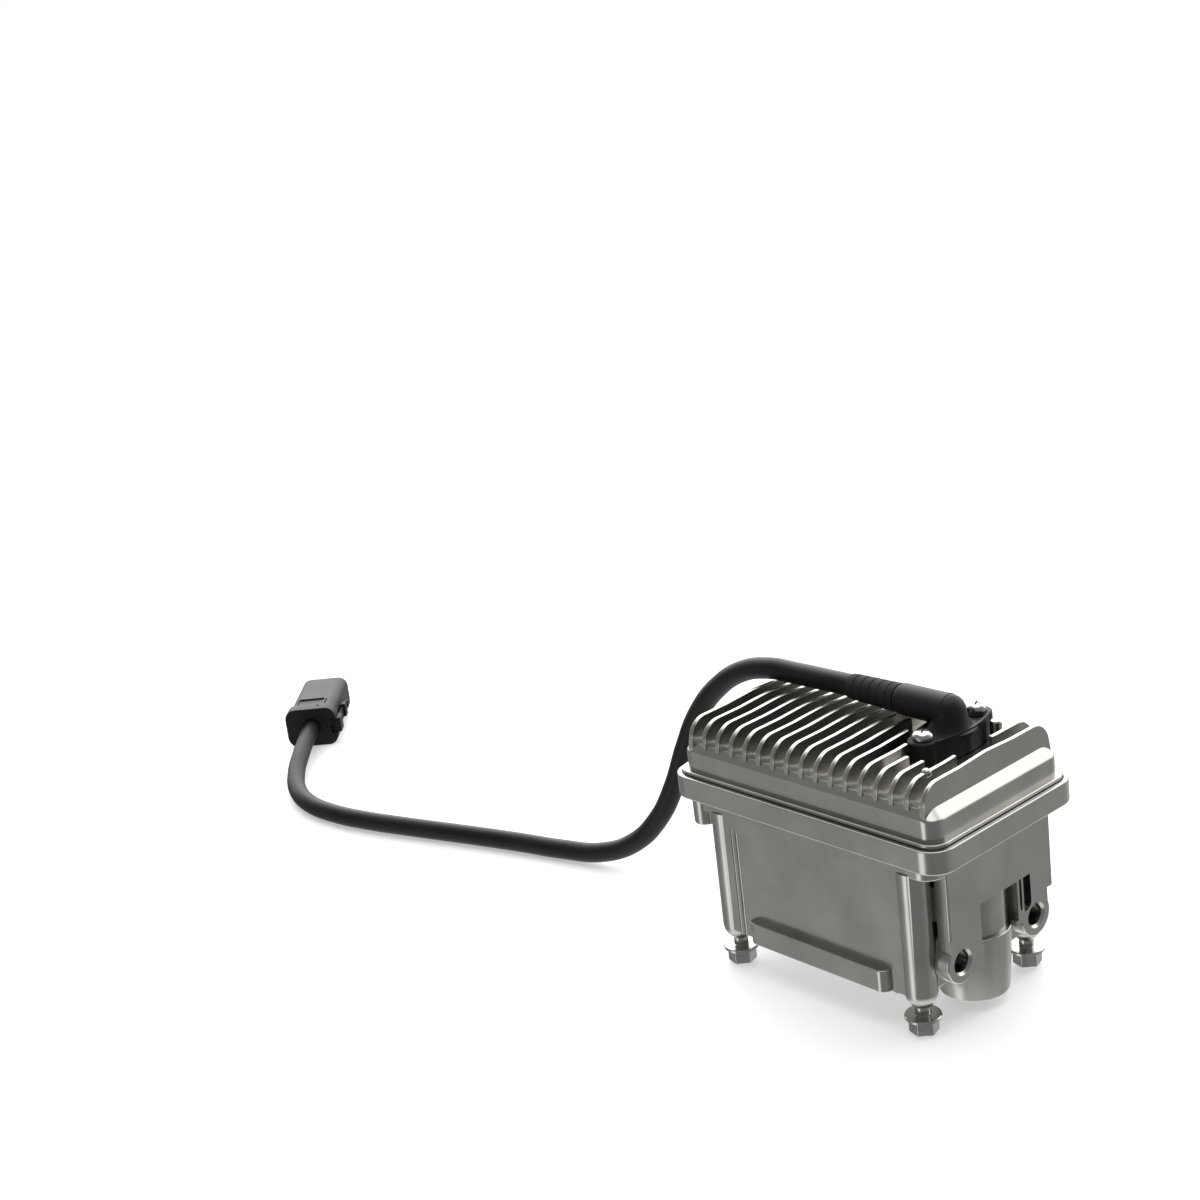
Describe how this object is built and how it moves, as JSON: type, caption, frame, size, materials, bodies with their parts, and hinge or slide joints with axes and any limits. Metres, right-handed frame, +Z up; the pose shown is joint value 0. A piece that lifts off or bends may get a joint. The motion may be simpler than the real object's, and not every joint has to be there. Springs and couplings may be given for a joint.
{
  "type": "micro inverter",
  "caption": "Die-cast aluminium micro inverter with a finned lid, four corner mounting bolts, a round output port and a cable that ends in a latching connector.",
  "frame": {"origin": "under the middle of the housing's rim, on the plane that the four mounting bolt heads stand on", "axes": "+X towards the output port and the end plate, +Z up through the finned lid, -Y the front wall with the long ledge"},
  "size_m": [0.5134, 0.1009, 0.1174],
  "materials": {
    "cast_aluminium": "bare die casting, satin to bright",
    "plain_steel": "bright",
    "black_plastic": "matte moulded",
    "black_rubber": "matte",
    "cable_jacket": "satin",
    "grey_plastic": "matte",
    "contact_metal": "plated",
    "board_green": "solder mask",
    "ferrite": "matte sintered",
    "copper": "enamelled wire",
    "capacitor_sleeve": "shrink sleeve",
    "film_block": "cast resin",
    "transistor_case": "moulded epoxy",
    "thermal_silicone": "soft pad"
  },
  "bodies": {
    "housing": {"base_housing": "cast_aluminium", "finned_lid": "cast_aluminium", "lid_seal": "black_rubber", "lid_screw_front": "plain_steel", "lid_screw_rear": "plain_steel", "gland_body": "black_plastic", "gland_seal": "black_rubber", "gland_screw_front": "plain_steel", "gland_screw_rear": "plain_steel", "strain_relief": "black_rubber", "cable": "cable_jacket", "connector_shell": "black_plastic", "connector_collar": "black_plastic", "connector_insert": "grey_plastic", "connector_face_seal": "black_rubber", "connector_contact_1": "contact_metal", "connector_contact_2": "contact_metal", "connector_contact_3": "contact_metal", "port_insert": "black_plastic", "port_seal": "black_rubber", "port_pin_1": "contact_metal", "port_pin_2": "contact_metal", "port_pin_3": "contact_metal", "vent_plug": "black_plastic", "main_board": "board_green", "transformer_core_lower": "ferrite", "transformer_core_upper": "ferrite", "transformer_winding": "copper", "bulk_capacitor_1": "capacitor_sleeve", "bulk_capacitor_2": "capacitor_sleeve", "bulk_capacitor_3": "capacitor_sleeve", "film_capacitor": "film_block", "output_relay": "grey_plastic", "output_choke": "copper", "control_board": "board_green", "input_terminal": "grey_plastic", "power_transistor_1": "transistor_case", "power_transistor_2": "transistor_case", "power_transistor_3": "transistor_case", "power_transistor_4": "transistor_case", "thermal_pad": "thermal_silicone", "board_screw_front_left": "plain_steel", "board_screw_front_right": "plain_steel", "board_screw_rear_left": "plain_steel", "board_screw_rear_right": "plain_steel"},
    "latch": {"connector_latch": "black_plastic"},
    "bolt_front_left": {"mounting_bolt_front_left": "plain_steel"},
    "bolt_front_right": {"mounting_bolt_front_right": "plain_steel"},
    "bolt_rear_left": {"mounting_bolt_rear_left": "plain_steel"},
    "bolt_rear_right": {"mounting_bolt_rear_right": "plain_steel"}
  },
  "joints": [
    {"name": "bolt_front_left_travel", "type": "slide", "parent": "housing", "child": "bolt_front_left", "axis": [0, 0, 1], "range_m": [0, 0.0035]},
    {"name": "bolt_front_right_travel", "type": "slide", "parent": "housing", "child": "bolt_front_right", "axis": [0, 0, 1], "range_m": [0, 0.0035]},
    {"name": "bolt_rear_left_travel", "type": "slide", "parent": "housing", "child": "bolt_rear_left", "axis": [0, 0, 1], "range_m": [0, 0.0035]},
    {"name": "bolt_rear_right_travel", "type": "slide", "parent": "housing", "child": "bolt_rear_right", "axis": [0, 0, 1], "range_m": [0, 0.0035]},
    {"name": "latch_press", "type": "hinge", "parent": "housing", "child": "latch", "pos_m": [-0.40914, 0.02959, 0.0107], "axis": [0, 0, -1], "range_deg": [0, 3.5], "stiffness_Nm_per_rad": 0.5, "springref_deg": -1.15}
  ]
}
